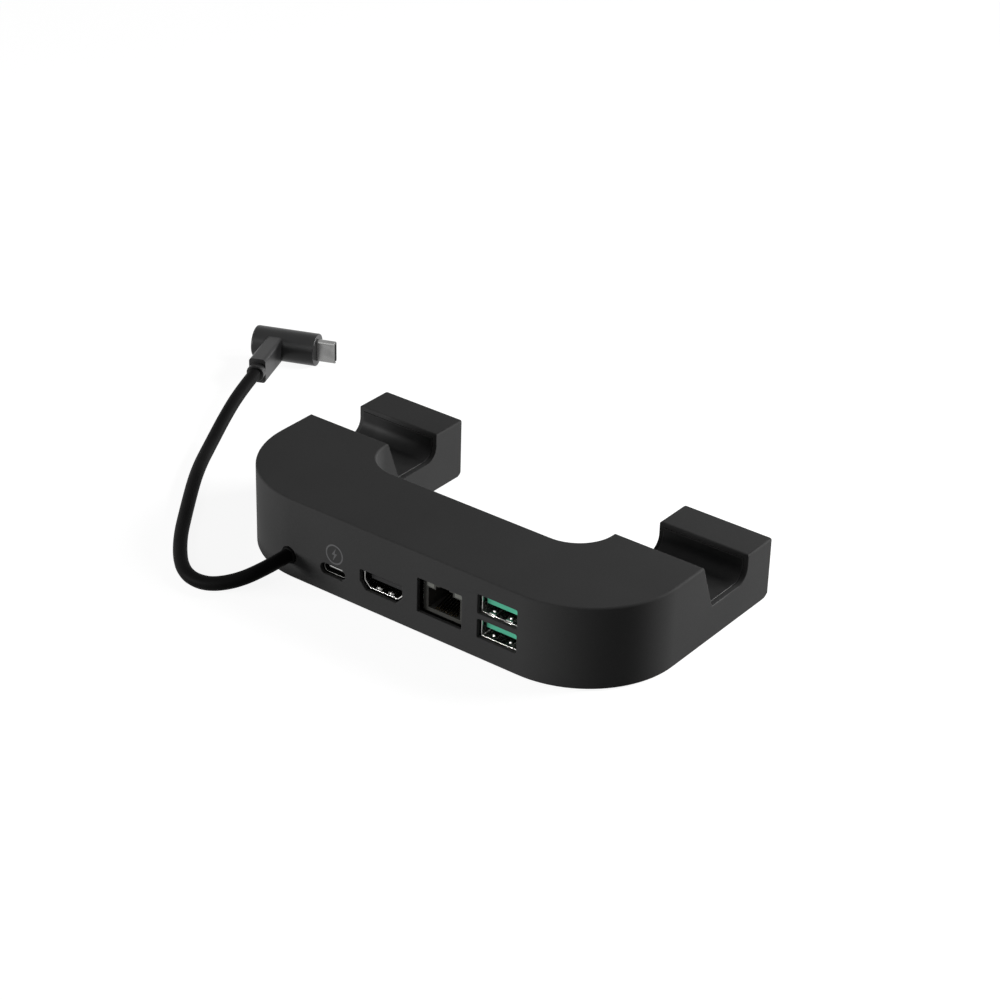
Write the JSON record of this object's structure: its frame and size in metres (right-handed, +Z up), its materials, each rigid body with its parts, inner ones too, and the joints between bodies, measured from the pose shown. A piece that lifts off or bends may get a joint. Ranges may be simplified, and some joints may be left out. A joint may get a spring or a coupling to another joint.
{
  "type": "handheld console dock",
  "caption": "U-shaped desk dock with two cradle arms for a handheld console, a row of ports on its front face and a captive cord with a right-angle plug.",
  "frame": {"origin": "on the floor under the middle of the housing, measured without the cord and its plug", "axes": "+X along the port face to the right as seen from the ports, +Y from the ports towards the cradles, +Z up"},
  "size_m": [0.23, 0.145, 0.0275],
  "materials": {
    "housing_plastic": "fine matt texture",
    "soft_rubber": "matt",
    "foot_rubber": "matt",
    "cord_jacket": "satin",
    "plug_plastic": "satin",
    "board": "black solder resist, satin",
    "steel": "bright plated",
    "screw_steel": "black plated",
    "contacts": "gold flashed",
    "teal_plastic": "satin",
    "black_plastic": "satin",
    "clear_plastic": "clear moulding",
    "chip": "matt epoxy",
    "ferrite": "matt",
    "can": "satin",
    "crystal_case": "satin",
    "header_plastic": "satin"
  },
  "bodies": {
    "root": {"upper_housing": "housing_plastic", "base_plate": "housing_plastic", "base_screws": "screw_steel", "cradle_pad_left": "soft_rubber", "cradle_pad_right": "soft_rubber", "foot_front_left": "foot_rubber", "foot_front_right": "foot_rubber", "foot_rear_left": "foot_rubber", "foot_rear_right": "foot_rubber", "circuit_board": "board", "board_screws": "steel", "usb_c_shell": "steel", "usb_c_insulator": "black_plastic", "usb_c_tongue": "steel", "hdmi_shell": "steel", "hdmi_insulator": "black_plastic", "hdmi_contacts": "contacts", "ethernet_jack": "black_plastic", "ethernet_shield": "steel", "ethernet_contacts": "contacts", "ethernet_lights": "clear_plastic", "usb_a_shell": "steel", "usb_a_divider": "steel", "usb_a_insulator": "teal_plastic", "usb_a_contacts": "contacts", "hub_controller": "chip", "video_converter": "chip", "network_controller": "chip", "power_controller": "chip", "network_transformer": "chip", "power_inductors": "ferrite", "smoothing_capacitors": "can", "crystals": "crystal_case", "cord_strain_relief": "cord_jacket", "inner_lead": "cord_jacket", "cord_header": "header_plastic", "cord": "cord_jacket", "plug_body": "plug_plastic", "plug_shell": "steel", "plug_insert": "black_plastic"}
  },
  "joints": []
}
